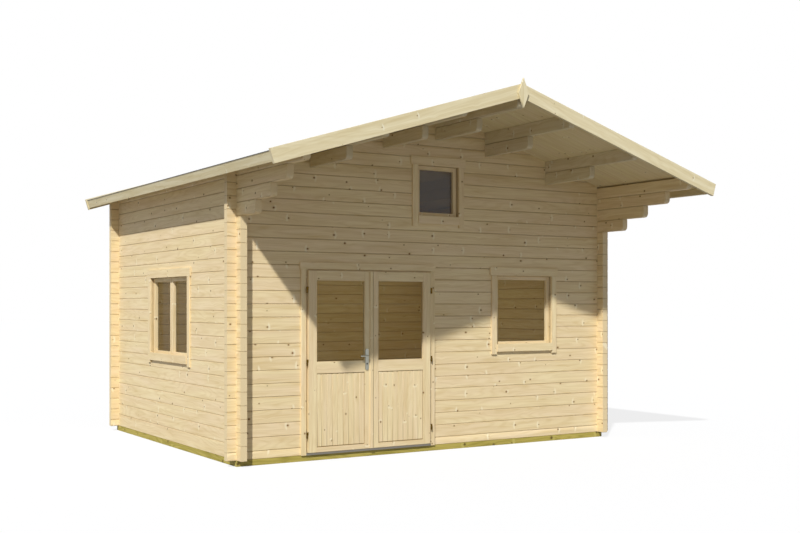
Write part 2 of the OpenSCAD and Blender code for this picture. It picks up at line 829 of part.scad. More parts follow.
base_beams();
floor_joists();
floor_deck();
front_wall_left();
front_wall_right();
front_wall_top();
front_gable();
back_wall();
back_gable();
left_wall();
left_brackets();
right_wall();
right_brackets();
ridge_purlin();
inner_purlins();
outer_purlins();
roof_deck_left();
roof_deck_right();
roof_felt_left();
roof_felt_right();
eave_boards();
front_bargeboards();
rear_bargeboards();
finial();
door_frame();
door_casing();
threshold();
frame_hinges();
left_leaf();
left_leaf_glass();
left_leaf_hinges();
cover_strip();
lock_plate();
lever();
right_leaf();
right_leaf_glass();
right_leaf_hinges();
front_window();
front_window_glass();
front_window_casing();
gable_window();
gable_window_glass();
gable_window_casing();
side_window();
side_window_glass();
side_window_casing();
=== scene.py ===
"""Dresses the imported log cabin: timber, felt, glass and metal, its fine parts, the stage and the camera."""

import json
import math
import random

import bmesh
import bpy
from bpy.props import FloatProperty, FloatVectorProperty, PointerProperty
from mathutils import Matrix, Vector

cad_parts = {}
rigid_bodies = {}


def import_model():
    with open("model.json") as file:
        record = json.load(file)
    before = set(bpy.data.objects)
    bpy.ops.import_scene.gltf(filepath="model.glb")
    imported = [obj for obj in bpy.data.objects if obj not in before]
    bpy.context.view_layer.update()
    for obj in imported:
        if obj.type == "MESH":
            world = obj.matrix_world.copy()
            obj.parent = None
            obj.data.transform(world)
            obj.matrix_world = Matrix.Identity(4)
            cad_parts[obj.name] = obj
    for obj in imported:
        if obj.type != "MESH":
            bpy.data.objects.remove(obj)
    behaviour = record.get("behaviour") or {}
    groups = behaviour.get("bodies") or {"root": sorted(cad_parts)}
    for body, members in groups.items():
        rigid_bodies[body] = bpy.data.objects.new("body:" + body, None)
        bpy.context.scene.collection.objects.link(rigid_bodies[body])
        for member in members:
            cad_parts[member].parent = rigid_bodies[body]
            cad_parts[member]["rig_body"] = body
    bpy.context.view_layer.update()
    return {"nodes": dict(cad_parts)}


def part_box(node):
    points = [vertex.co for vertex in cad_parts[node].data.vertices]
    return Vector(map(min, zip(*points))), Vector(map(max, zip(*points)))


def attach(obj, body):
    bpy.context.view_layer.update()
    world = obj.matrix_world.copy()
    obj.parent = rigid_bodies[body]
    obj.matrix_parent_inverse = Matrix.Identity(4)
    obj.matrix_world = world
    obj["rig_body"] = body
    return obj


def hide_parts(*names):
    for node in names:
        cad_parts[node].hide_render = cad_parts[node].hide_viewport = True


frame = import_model()

bl_info = {
    "name": "Log Cabin",
    "version": (1, 0, 0),
    "blender": (4, 5, 0),
    "location": "View3D > Sidebar > Cabin",
    "description": "Builds the looks of a log cabin round its fixed frame",
    "category": "Object",
}

PITCH = math.radians(17.07)  # slope of the roof

LOG_NODES = (
    "front_wall_left", "front_wall_right", "front_wall_top", "front_gable", "back_wall", "back_gable",
    "left_wall", "left_brackets", "right_wall", "right_brackets",
    "ridge_purlin", "inner_purlins", "outer_purlins",
)


def linear(hex_code):
    """An sRGB hex value as the linear colour that shaders take."""
    parts = [int(hex_code[i : i + 2], 16) / 255 for i in (1, 3, 5)]
    return tuple(p / 12.92 if p <= 0.04045 else ((p + 0.055) / 1.055) ** 2.4 for p in parts)


# ---------------------------------------------------------------- settings


def colour_setting(name, description, hex_code):
    """A colour that a user may change."""
    return FloatVectorProperty(name=name, description=description, subtype="COLOR", min=0, max=1,
                               default=linear(hex_code))


def length_setting(name, description, default, least, most):
    """A length in metres that a user may change."""
    return FloatProperty(name=name, description=description, unit="LENGTH", min=least, max=most,
                         default=default)


class CabinTimber(bpy.types.PropertyGroup):
    """Colours of the cabin's timber and felt."""

    pale: colour_setting("Spruce, early wood", "Colour of the planed spruce between the rings", "#F1DEB1")
    dark: colour_setting("Spruce, late wood", "Colour of the planed spruce's rings", "#DAC08B")
    blush: colour_setting("Spruce, rosy patches", "Colour of the spruce's rosier patches", "#EFD9B1")
    trim_pale: colour_setting("Roof trim, early wood", "Colour of the roof's edge boards", "#E9DDB8")
    trim_dark: colour_setting("Roof trim, late wood", "Colour of the edge boards' rings", "#CFBC8A")
    knot: colour_setting("Knots", "Colour of a knot's middle", "#7A5424")
    treated_pale: colour_setting("Treated wood, early wood", "Colour of the treated beams", "#BEAD5A")
    treated_dark: colour_setting("Treated wood, late wood", "Colour of the treated beams' rings", "#968938")
    felt: colour_setting("Roofing felt", "Colour of the felt's mineral grit", "#54565A")


class CabinSizes(bpy.types.PropertyGroup):
    """Sizes of the fine parts that the cabin's frame leaves open."""

    edge: length_setting("Eased edge", "Width of the eased edge along planed boards", 0.0012, 0.0003, 0.004)
    log_end: length_setting("Joint across a log's end", "Width of the bevel across each log's end",
                            0.003, 0.001, 0.008)
    roof_board: length_setting("Roof board", "Width of a roof board's face", 0.0885, 0.06, 0.15)
    floor_board: length_setting("Floor board", "Width of a floor board's face", 0.0885, 0.06, 0.2)
    panel_board: length_setting("Door board", "Width of a board in a door leaf's panel", 0.064, 0.04, 0.12)
    panel_first: length_setting("First door board", "Width of the first board in a door leaf's panel",
                                0.048, 0.02, 0.12)
    bead: length_setting("Glazing bead", "Width of the bead round each window's pane", 0.005, 0.003, 0.02)
    door_bead: length_setting("Door glazing bead", "Width of the bead round each door pane",
                              0.016, 0.006, 0.024)
    sash_gap: length_setting("Sash gap", "Gap round each sash in its frame", 0.004, 0.001, 0.008)
    felt_roll: length_setting("Felt course", "Height of felt that shows between two laps", 0.9, 0.4, 1.0)


class CabinStage(bpy.types.PropertyGroup):
    """Lamps, camera and floor."""

    key: FloatProperty(name="Key light", description="Strength of the key light from the front left",
                       min=0, max=10, default=3.7)
    key_size: FloatProperty(name="Key softness", description="Angle that the key light fills",
                            subtype="ANGLE", min=0, max=0.5, default=math.radians(1.6))
    fill: FloatProperty(name="Fill light", description="Strength of the even light from all round",
                        min=0, max=2, default=0.33)
    room: FloatProperty(name="Room lamp", description="Power of the dim warm lamp at the top of the room",
                        min=0, max=100, default=20.0, unit="POWER")
    lens: FloatProperty(name="Focal length", description="Focal length of the camera in millimetres",
                        min=20, max=100, default=49.72)


# ---------------------------------------------------------------- materials


def add(tree, kind, inputs=None, **settings):
    """Adds a node with its settings, and its inputs as values or as links from other nodes' sockets."""
    node = tree.nodes.new(kind)
    for key, value in settings.items():
        setattr(node, key, value)
    for key, value in (inputs or {}).items():
        if isinstance(value, bpy.types.NodeSocket):
            tree.links.new(value, node.inputs[key])
        else:
            node.inputs[key].default_value = value
    return node


def new_material(name):
    """A material with only its output and a Principled shader."""
    material = bpy.data.materials.get(name)
    if material:
        return material, None, None
    material = bpy.data.materials.new(name)
    material.use_nodes = True
    tree = material.node_tree
    tree.nodes.clear()
    shader = add(tree, "ShaderNodeBsdfPrincipled")
    add(tree, "ShaderNodeOutputMaterial", {"Surface": shader.outputs[0]})
    return material, tree, shader


def rgba(colour):
    """A colour with the alpha that a colour socket takes."""
    return (*colour, 1.0)


def toned(colour, factors):
    """A colour with each channel times its factor."""
    return tuple(c * f for c, f in zip(colour, factors))


def knot_pattern(tree, flat, gap, lane, size, share):
    """Knots on a face: distance from the nearest, its core, its halo and the pale crescent beside it."""
    # One cell in a staggered field may hold a branch, drawn at its size in metres.
    cell = add(tree, "ShaderNodeVectorMath", {0: flat, 1: (1 / gap, 1 / lane, 0)},
               operation="MULTIPLY").outputs[0]
    field = add(tree, "ShaderNodeTexVoronoi", {"Vector": cell, "Scale": 1.0, "Randomness": 0.9},
                voronoi_dimensions="2D").outputs
    away = add(tree, "ShaderNodeVectorMath", {0: cell, 1: field["Position"]}, operation="SUBTRACT").outputs[0]
    away = add(tree, "ShaderNodeVectorMath", {0: away, 1: (gap * 0.8, lane, 0)},
               operation="MULTIPLY").outputs[0]
    wobble = add(tree, "ShaderNodeTexNoise", {"Vector": flat, "Scale": 90.0, "Detail": 1.0}).outputs["Fac"]
    span = add(tree, "ShaderNodeVectorMath", {0: away}, operation="LENGTH").outputs["Value"]
    span = add(tree, "ShaderNodeMath", {0: wobble, 1: 0.004, 2: span}, operation="MULTIPLY_ADD").outputs[0]
    chance = add(tree, "ShaderNodeSeparateColor", {0: field["Color"]}).outputs
    reach = add(tree, "ShaderNodeMapRange",
                {0: chance[0], 1: 1 - share, 2: 1.0, 3: size * 0.55, 4: size * 1.45}).outputs[0]
    there = add(tree, "ShaderNodeMath", {0: chance[0], 1: 1 - share}, operation="GREATER_THAN").outputs[0]
    ratio = add(tree, "ShaderNodeMath", {0: span, 1: reach}, operation="DIVIDE").outputs[0]
    core = add(tree, "ShaderNodeMapRange", {0: ratio, 1: 1.25, 2: 0.75, 3: 0.0, 4: there},
               interpolation_type="SMOOTHSTEP").outputs[0]
    halo = add(tree, "ShaderNodeMapRange", {0: ratio, 1: 2.4, 2: 1.0, 3: 0.0, 4: there},
               interpolation_type="SMOOTHSTEP").outputs[0]
    # On one side of a larger knot the fibres rise out of the face, which leaves a pale crescent there.
    large = add(tree, "ShaderNodeMath", {0: chance[1], 1: 0.5}, operation="GREATER_THAN").outputs[0]
    large = add(tree, "ShaderNodeMath", {0: large, 1: there}, operation="MULTIPLY").outputs[0]
    tall = add(tree, "ShaderNodeVectorMath", {0: away, 1: (1.0, 0.55, 0)}, operation="MULTIPLY").outputs[0]
    tall_span = add(tree, "ShaderNodeVectorMath", {0: tall}, operation="LENGTH").outputs["Value"]
    outer = add(tree, "ShaderNodeMapRange", {0: tall_span, 1: size * 4.4, 2: size * 2.4, 3: 0.0, 4: large},
                interpolation_type="SMOOTHSTEP").outputs[0]
    inner = add(tree, "ShaderNodeMapRange", {0: tall_span, 1: 0.004, 2: 0.011, 3: 0.0, 4: outer}).outputs[0]
    aside = add(tree, "ShaderNodeSeparateXYZ", {0: away}).outputs[0]
    hand = add(tree, "ShaderNodeMath", {0: chance[2], 1: 0.5}, operation="SUBTRACT").outputs[0]
    hand = add(tree, "ShaderNodeMath", {0: hand}, operation="SIGN").outputs[0]
    aside = add(tree, "ShaderNodeMath", {0: aside, 1: hand}, operation="MULTIPLY").outputs[0]
    crescent = add(tree, "ShaderNodeMapRange", {0: aside, 1: 0.002, 2: 0.009, 3: 0.0, 4: inner}).outputs[0]
    return span, core, halo, crescent


def ring_pattern(tree, along, lay, span):
    """Grain on a face, bent round its knots: growth rings, fine fibre, broad streaks and colour drift."""
    bend = add(tree, "ShaderNodeMapRange", {0: span, 1: 0.06, 2: 0.0, 3: 0.0, 4: 0.014},
               interpolation_type="SMOOTHSTEP").outputs[0]
    bent = add(tree, "ShaderNodeMath", {0: lay, 1: bend}, operation="ADD").outputs[0]
    place = add(tree, "ShaderNodeCombineXYZ", {0: along, 1: bent}).outputs[0]
    fields = []
    for stretch, noise in (
        ((0.55, 6.0, 1.0), {"Detail": 1.5, "Roughness": 0.4}),
        ((3.0, 180.0, 1.0), {"Detail": 3.0}),
        ((1.6, 26.0, 1.0), {"Detail": 2.0}),
        ((0.8, 6.0, 1.0), {"Detail": 1.0}),
    ):
        drawn = add(tree, "ShaderNodeVectorMath", {0: place, 1: stretch}, operation="MULTIPLY").outputs[0]
        drawn = add(tree, "ShaderNodeTexNoise", {"Vector": drawn, "Scale": 1.0, **noise})
        fields.append(drawn.outputs["Fac"])
    hills, fibre, broad, drift = fields
    # Rings are contours of a long smooth field, so they run parallel and open into arches here and there.
    turns = add(tree, "ShaderNodeMath", {0: hills, 1: 110.0}, operation="MULTIPLY").outputs[0]
    rings = add(tree, "ShaderNodeMath", {0: turns}, operation="SINE").outputs[0]
    rings = add(tree, "ShaderNodeMapRange", {0: rings, 1: -0.2, 2: 1.0, 3: 0.0, 4: 1.0}).outputs[0]
    # Boards from one tree stay alike; over a metre or so their colour drifts between yellow and rose.
    drift = add(tree, "ShaderNodeMapRange", {0: drift, 1: 0.38, 2: 0.62, 3: 0.0, 4: 1.0}).outputs[0]
    return rings, fibre, broad, drift


def end_grain(tree, section):
    """Arcs on a board's end, round a pith that lies below the board's middle."""
    pith = add(tree, "ShaderNodeVectorMath", {0: section, 1: (0.0, 0.045, 0.012)}, operation="ADD").outputs[0]
    arc = add(tree, "ShaderNodeVectorMath", {0: pith}, operation="LENGTH").outputs["Value"]
    arc = add(tree, "ShaderNodeMath", {0: arc, 1: 1500.0}, operation="MULTIPLY").outputs[0]
    arc = add(tree, "ShaderNodeMath", {0: arc}, operation="SINE").outputs[0]
    return add(tree, "ShaderNodeMapRange", {0: arc, 1: -1.0, 2: 1.0, 3: 0.0, 4: 0.6}).outputs[0]


def timber(name, pale, dark, knot, blush=None, knot_gap=0.42, knot_lane=0.105, knot_size=0.0075, share=0.55,
           figure=0.45, spread=0.28, rough=0.62):
    """Softwood along its boards' grain: growth rings, knots with bent grain round them, and end grain."""
    material, tree, shader = new_material(name)
    if tree is None:
        return material
    place, section, marks = (add(tree, "ShaderNodeAttribute", attribute_name=layer).outputs
                             for layer in ("grain", "section", "board"))
    # The board layer holds each board's tone, its end grain, and how much painted shade a face takes in a
    # joint, gap or reveal.
    tone, end, joint = add(tree, "ShaderNodeSeparateColor", {0: marks["Color"]}).outputs
    along, across, through = add(tree, "ShaderNodeSeparateXYZ", {0: place["Vector"]}).outputs
    lay = add(tree, "ShaderNodeMath", {0: through, 1: 0.9, 2: across}, operation="MULTIPLY_ADD").outputs[0]
    flat = add(tree, "ShaderNodeCombineXYZ", {0: along, 1: lay}).outputs[0]
    span, core, halo, crescent = knot_pattern(tree, flat, knot_gap, knot_lane, knot_size, share)
    rings, fibre, broad, drift = ring_pattern(tree, along, lay, span)
    arc = end_grain(tree, section["Vector"])

    # How far the face stands from early to late wood.
    face = add(tree, "ShaderNodeMath", {0: broad, 1: 1.5, 2: -0.48}, operation="MULTIPLY_ADD",
               use_clamp=True).outputs[0]
    for layer, amount in ((rings, figure * 0.55), (fibre, 0.30), (tone, spread)):
        face = add(tree, "ShaderNodeMath", {0: layer, 1: amount, 2: face},
                   operation="MULTIPLY_ADD").outputs[0]
    face = add(tree, "ShaderNodeMath", {0: face, 1: 0.32}, operation="SUBTRACT", use_clamp=True).outputs[0]

    # The face's wood, then what lies over it: cut ends, crescents, knots, and painted shade, with a little
    # dust, in joints, gaps and deep reveals.
    side = add(tree, "ShaderNodeMath", {0: 1.0, 1: end}, operation="SUBTRACT").outputs[0]
    ring = add(tree, "ShaderNodeMath", {0: halo, 1: side}, operation="MULTIPLY").outputs[0]
    heart = add(tree, "ShaderNodeMath", {0: core, 1: side}, operation="MULTIPLY").outputs[0]
    soft, ring, joint_dust_and_shade = (
        add(tree, "ShaderNodeMath", {0: layer, 1: amount}, operation="MULTIPLY").outputs[0]
        for layer, amount in ((crescent, 0.8), (ring, 0.38), (joint, 0.42)))
    brown = tuple(d * 0.5 + k * 0.5 for d, k in zip(dark, knot))
    wood, cut = rgba(pale), rgba(toned(pale, (0.94, 0.93, 0.96)))
    cut = add(tree, "ShaderNodeMix", {0: arc, 6: cut, 7: rgba(dark)}, data_type="RGBA").outputs[2]
    for amount, layer in (
        (drift, rgba(blush or pale)), (face, rgba(dark)), (end, cut),
        (soft, rgba(toned(pale, (1.06, 1.12, 1.3)))), (ring, rgba(brown)), (heart, rgba(knot)),
        (joint_dust_and_shade, rgba(toned(dark, (0.34, 0.29, 0.22)))),
    ):
        wood = add(tree, "ShaderNodeMix", {0: amount, 6: wood, 7: layer}, data_type="RGBA").outputs[2]
    tree.links.new(wood, shader.inputs["Base Color"])
    dull = add(tree, "ShaderNodeMapRange", {0: face, 3: rough - 0.06, 4: rough + 0.06}).outputs[0]
    tree.links.new(dull, shader.inputs["Roughness"])
    relief = add(tree, "ShaderNodeMath", {0: fibre, 1: 0.4, 2: rings}, operation="MULTIPLY_ADD").outputs[0]
    bump = add(tree, "ShaderNodeBump", {"Strength": 0.25, "Distance": 0.0004, "Height": relief}).outputs[0]
    tree.links.new(bump, shader.inputs["Normal"])
    shader.inputs["IOR"].default_value = 1.5
    shader.inputs["Specular IOR Level"].default_value = 0.3
    return material


def spruce(factors=(1.0, 1.0, 1.0)):
    """The spruce's early wood, late wood, knots and rosy patches, with the wood's channels scaled."""
    colours = bpy.context.scene.cabin_timber
    pale, dark, blush = (toned(colour, factors) for colour in (colours.pale, colours.dark, colours.blush))
    return pale, dark, colours.knot, blush


def spruce_logs():
    """Planed spruce logs: wide pale faces, a few branches along each log."""
    return timber("planed_spruce_logs", *spruce())


def spruce_boards():
    """Planed spruce boards for doors, windows and trim: narrower, with fewer and smaller knots."""
    return timber("planed_spruce_boards", *spruce(),
                  knot_gap=0.34, knot_lane=0.07, knot_size=0.0062, share=0.45, figure=0.35)


def roof_matchboard():
    """Planed spruce matchboard: quiet, close-set boards with small knots, darkened a little as painted shade
    under the roof.
    """
    return timber("planed_spruce_matchboard", *spruce((0.89, 0.93, 0.91)),
                  knot_gap=0.34, knot_lane=0.08, knot_size=0.006, share=0.5, figure=0.2, spread=0.12)


def shaded_purlin_timber():
    """Planed spruce purlins: the walls' wood, darkened and cooled a little as painted shade under the roof.
    """
    return timber("planed_spruce_purlins_painted_shade", *spruce((0.84, 0.89, 0.97)))


def roof_trim():
    """Planed spruce edge boards, a little greyer than the walls from rain and sun."""
    colours = bpy.context.scene.cabin_timber
    return timber("rain_greyed_spruce_boards", colours.trim_pale, colours.trim_dark, colours.knot,
                  knot_gap=0.4, knot_lane=0.1, knot_size=0.0055, share=0.4, figure=0.3)


def treated_beams():
    """Pressure-treated softwood beams: green salts in sawn wood, brown knots."""
    colours = bpy.context.scene.cabin_timber
    return timber("pressure_treated_pine", colours.treated_pale, colours.treated_dark, linear("#6B5A2A"),
                  knot_gap=0.4, knot_lane=0.11, knot_size=0.011, share=0.6, figure=0.8, rough=0.75)


def mineral_felt():
    """Bitumen felt strewn with slate grit: a dark, dull, finely speckled face."""
    material, tree, shader = new_material("slate_grit_bitumen_felt")
    if tree is None:
        return material
    colour = bpy.context.scene.cabin_timber.felt
    place = add(tree, "ShaderNodeTexCoord").outputs["Object"]
    # Grit is 1 mm across; it is drawn 4 mm across so that it shows from a few metres away.
    grit = add(tree, "ShaderNodeTexNoise", {"Vector": place, "Scale": 250.0, "Detail": 2.0}).outputs["Fac"]
    cloud = add(tree, "ShaderNodeTexNoise", {"Vector": place, "Scale": 2.2, "Detail": 3.0}).outputs["Fac"]
    mixed = add(tree, "ShaderNodeMath", {0: cloud, 1: 0.5, 2: grit}, operation="MULTIPLY_ADD").outputs[0]
    level = add(tree, "ShaderNodeMapRange", {0: mixed, 1: 0.5, 2: 1.0, 3: 0.0, 4: 1.0}).outputs[0]
    low, high = (toned(colour, (factor,) * 3) for factor in (0.55, 1.45))
    grain = add(tree, "ShaderNodeMix", {0: level, 6: rgba(low), 7: rgba(high)}, data_type="RGBA").outputs[2]
    tree.links.new(grain, shader.inputs["Base Color"])
    bump = add(tree, "ShaderNodeBump", {"Strength": 0.6, "Distance": 0.001, "Height": grit}).outputs[0]
    tree.links.new(bump, shader.inputs["Normal"])
    shader.inputs["Roughness"].default_value = 0.92
    return material


def brushed_metal(name, hex_code, rough, lines=700.0):
    """Metal with fine draw lines along X, which stretch its highlights."""
    material, tree, shader = new_material(name)
    if tree is None:
        return material
    colour = linear(hex_code)
    place = add(tree, "ShaderNodeTexCoord").outputs["Object"]
    drawn = add(tree, "ShaderNodeVectorMath", {0: place, 1: (0.06, 1.0, 1.0)},
                operation="MULTIPLY").outputs[0]
    fine = add(tree, "ShaderNodeTexNoise", {"Vector": drawn, "Scale": lines, "Detail": 2.0}).outputs["Fac"]
    shade = add(tree, "ShaderNodeMapRange",
                {0: fine, 1: 0.3, 2: 0.7, 3: rough - 0.08, 4: rough + 0.08}).outputs[0]
    tree.links.new(shade, shader.inputs["Roughness"])
    low = toned(colour, (0.86,) * 3)
    tint = add(tree, "ShaderNodeMix", {0: fine, 6: rgba(low), 7: rgba(colour)}, data_type="RGBA").outputs[2]
    tree.links.new(tint, shader.inputs["Base Color"])
    bump = add(tree, "ShaderNodeBump", {"Strength": 0.15, "Distance": 0.0002, "Height": fine}).outputs[0]
    tree.links.new(bump, shader.inputs["Normal"])
    shader.inputs["Metallic"].default_value = 1.0
    return material


def float_glass(name="clear_float_glass", tint="#22262A", alpha=0.22, gloss=0.12):
    """Float glass: a thin veil and a sharp gloss over the room behind it, with a trace of waviness."""
    material, tree, shader = new_material(name)
    if tree is None:
        return material
    place = add(tree, "ShaderNodeTexCoord").outputs["Object"]
    wave = add(tree, "ShaderNodeTexNoise", {"Vector": place, "Scale": 3.0, "Detail": 1.0}).outputs["Fac"]
    bump = add(tree, "ShaderNodeBump", {"Strength": 0.05, "Distance": 0.001, "Height": wave}).outputs[0]
    tree.links.new(bump, shader.inputs["Normal"])
    shader.inputs["Base Color"].default_value = rgba(linear(tint))
    shader.inputs["Roughness"].default_value = 0.03
    shader.inputs["IOR"].default_value = 1.5
    shader.inputs["Specular IOR Level"].default_value = gloss
    shader.inputs["Alpha"].default_value = alpha
    return material


def sky_painted_glass():
    """Float glass whose grey-blue colour is a painted reflection of the sky, with a stronger real gloss; it
    shows less of the room.
    """
    return float_glass("float_glass_with_painted_sky", "#55616E", alpha=0.52, gloss=0.36)


# ---------------------------------------------------------------- shapes

WELD = 0.00001  # points nearer to each other than this are one
SEAM = 0.0002  # half of the gap between two boards
SQUARE, FACING = 0.1, 0.9  # a normal's part along an axis that it stands square to, and that it faces
END_GRAIN = 0.8  # a normal's part along the grain from which a face shows end grain
LONG_EDGE = 1.0  # an edge longer than this runs along its board
FOREST = 50.0  # boards are cut from anywhere in a field of grain this wide
TONES = (0.2, 0.8)  # the lightest and darkest board


def joined(node):
    """A copy of a frame node's mesh in a bmesh, with its triangles joined into flat faces."""
    bm = bmesh.new()
    bm.from_mesh(frame["nodes"][node].data)
    bmesh.ops.remove_doubles(bm, verts=bm.verts, dist=WELD)
    bmesh.ops.dissolve_limit(bm, angle_limit=math.radians(0.4), verts=bm.verts, edges=bm.edges)
    return bm


def ordered(things):
    """Each of some things once, in the order that they came in."""
    return list(dict.fromkeys(things))


def solids(bm):
    """The faces of each separate solid in a bmesh."""
    known, groups = set(), []
    for first in bm.faces:
        if first in known:
            continue
        known.add(first)
        group = [first]
        for face in group:
            for other in (f for vert in face.verts for f in vert.link_faces):
                if other not in known:
                    known.add(other)
                    group.append(other)
        groups.append(group)
    groups.sort(key=lambda g: tuple(round(c, 4) for c in middle(g)))
    return groups


def corners(faces, turn=None):
    """Lowest and highest corner of some faces, after an optional turn."""
    places = [turn @ v.co if turn else v.co for f in faces for v in f.verts]
    low = Vector([min(p[i] for p in places) for i in range(3)])
    high = Vector([max(p[i] for p in places) for i in range(3)])
    return low, high


def middle(faces):
    """The middle of the box round some faces."""
    low, high = corners(faces)
    return (low + high) / 2


def solid_boxes(node):
    """Corners of each separate solid in a frame node."""
    bm = joined(node)
    boxes = [corners(group) for group in solids(bm)]
    bm.free()
    return boxes


def block(bm, low, high, edge=0.0):
    """A box between two corners, with eased edges; gives back its faces."""
    before = set(bm.faces)
    size = high - low
    place = Matrix.Translation((low + high) / 2) @ Matrix.Diagonal((*size, 1))
    made = bmesh.ops.create_cube(bm, size=1.0, matrix=place)
    if edge:
        ease(bm, ordered(e for v in made["verts"] for e in v.link_edges), min(edge, min(size) * 0.3))
    return set(bm.faces) - before


def ease(bm, edges, offset, segments=1):
    """Bevels edges of a shape."""
    bmesh.ops.bevel(bm, geom=edges, offset=offset, offset_type="OFFSET", segments=segments, profile=0.5,
                    affect="EDGES", clamp_overlap=True, material=-1)


def sharp_edges(faces, angle=math.radians(30)):
    """The edges of some faces where two faces meet at more than an angle."""
    edges = ordered(e for f in faces for e in f.edges)
    return [e for e in edges if len(e.link_faces) == 2 and e.calc_face_angle(0) > angle]


def cut_through(bm, point, normal, clear_outer=False):
    """Cuts a whole shape along a plane, and takes away what lies beyond it if asked; gives back the cut."""
    return bmesh.ops.bisect_plane(bm, geom=bm.verts[:] + bm.edges[:] + bm.faces[:], dist=WELD, plane_co=point,
                                  plane_no=normal, clear_outer=clear_outer)["geom_cut"]


def fill_holes(bm):
    """Closes the open ends that a cut leaves."""
    bmesh.ops.holes_fill(bm, edges=[e for e in bm.edges if e.is_boundary], sides=0)


def joint_shade_depth(face, normal, along, across):
    """How much painted shade a face takes in a joint: narrow slanted faces take it, most of all across a
    board's end.
    """
    lengthwise = abs(normal[along]) < SQUARE
    width = face.calc_area() / max(e.calc_length() for e in face.edges)
    narrow = width < (0.009 if lengthwise else 0.005)
    slanted = abs(normal[across]) > 0.3 and max(abs(c) for c in normal) < 0.93
    return (0.6 if lengthwise else 1.0) if narrow and slanted else 0.0


def mark_grain(bm, seed, slope=0.0, joints=False):
    """Gives each board its own place in the wood (along, across, through), tone, ends and, when asked, the
    painted shade in its joints.
    """
    grain = bm.loops.layers.float_vector.new("grain")
    section = bm.loops.layers.float_vector.new("section")
    board = bm.loops.layers.float_color.new("board")
    pick = random.Random(seed)
    for faces in solids(bm):
        turn = Matrix.Rotation(slope if middle(faces).x < 0 else -slope, 3, "Y")
        low, high = corners(faces, turn)
        size, centre = high - low, (low + high) / 2
        along, across, through = sorted(range(3), key=lambda i: -size[i])
        shift = Vector((pick.uniform(0, FOREST), pick.uniform(0, FOREST), 0))
        tone = pick.uniform(*TONES)
        for face in faces:
            face.normal_update()
            normal = turn @ face.normal
            end = 1.0 if abs(normal[along]) > END_GRAIN else 0.0
            joint = joint_shade_depth(face, normal, along, across) if joints else 0.0
            for loop in face.loops:
                p = turn @ loop.vert.co
                aside, inwards = p[across] - centre[across], p[through] - centre[through]
                loop[grain] = Vector((p[along], aside, inwards)) + shift
                loop[section] = (0, aside, inwards)
                loop[board] = (tone, end, joint, 1)


def paint_shade(bm, faces, amount=2.0):
    """Marks faces that stand inside a joint, gap or deep reveal, to take painted shade there."""
    board = bm.loops.layers.float_color["board"]
    for face in faces:
        for loop in face.loops:
            loop[board] = (*loop[board][:2], amount, 1.0)


def place_piece(bm, name, material, nodes=(), ride_with=None, smooth=40.0):
    """Turns a bmesh into a finished piece that stands for the nodes and rides on their body."""
    bmesh.ops.recalc_face_normals(bm, faces=bm.faces)
    mesh = bpy.data.meshes.new(name)
    bm.to_mesh(mesh)
    bm.free()
    mesh.shade_smooth()
    mesh.set_sharp_from_angle(angle=math.radians(smooth))
    mesh.materials.append(material)
    piece = bpy.data.objects.new(name, mesh)
    bpy.context.scene.collection.objects.link(piece)
    guide = nodes[0] if nodes else ride_with
    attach(piece, frame["nodes"][guide]["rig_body"])
    if nodes:
        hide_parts(*nodes)
    return piece


def finish_node(node, material):
    """Gives a frame node that shows as it is its material."""
    mesh = frame["nodes"][node].data
    mesh.materials.clear()
    mesh.materials.append(material)


def dress_boards(node, material, edge, slope=0.0, seed=1):
    """Copies a node's boards with eased edges and their grain."""
    bm = joined(node)
    ease(bm, sharp_edges(bm.faces), edge)
    mark_grain(bm, seed, slope)
    return place_piece(bm, node + "_timber", material, (node,))


def dress_logs(node, material, edge, seed=1):
    """Copies a node's logs, opens the joints across their ends and under the roof, and marks their grain and
    the painted shade in their joints.
    """
    bm = joined(node)
    for faces in solids(bm):
        low, high = corners(faces)
        along = 0 if high.x - low.x > high.y - low.y else 1
        chosen = []
        for e in sharp_edges(faces):
            least, most = sorted(abs(f.normal[along]) for f in e.link_faces)
            level = max(abs(f.normal.z) for f in e.link_faces)
            across_end = most > FACING and least < SQUARE and level > FACING
            # The slanted top of a gable log, wider than 20 mm, meets the roof along its length.
            wide = min(f.calc_area() for f in e.link_faces) > 0.02 * e.calc_length()
            under_roof = most < SQUARE and 0.94 < level < 0.99 and e.calc_length() > LONG_EDGE and wide
            if across_end or under_roof:
                chosen.append(e)
        ease(bm, chosen, edge)
    mark_grain(bm, seed, joints=True)
    return place_piece(bm, node + "_timber", material, (node,))


def members(faces, inset=0.0):
    """Corners of the uprights and rails of a flat frame with openings, its outline drawn in by an inset."""
    low, high = corners(faces)
    wide = 0 if high.x - low.x > high.y - low.y else 1
    spots = [sorted({round(v.co[i], 4) for f in faces for v in f.verts}) for i in range(3)]
    across, up = spots[wide], spots[2]
    for line in (across, up):
        line[0], line[-1] = line[0] + inset, line[-1] - inset
    pieces = [(across[0], across[1], up[0], up[-1]), (across[2], across[3], up[0], up[-1])]
    pieces += [(across[1], across[2], up[i], up[i + 1]) for i in range(0, len(up), 2)]
    for a, b, c, d in pieces:
        first, last = low.copy(), high.copy()
        first[wide], last[wide], first.z, last.z = a, b, c, d
        yield first, last


def pane_spots(node):
    """For each pane, a matrix from its lower left front corner (x right, y inwards, z up), and its size."""
    for low, high in solid_boxes(node):
        if high.x - low.x < high.y - low.y:
            turn = Matrix.Rotation(-math.pi / 2, 4, "Z")
            yield Matrix.Translation((low.x, high.y, low.z)) @ turn, high.y - low.y, high.z - low.z
        else:
            yield Matrix.Translation(low), high.x - low.x, high.z - low.z


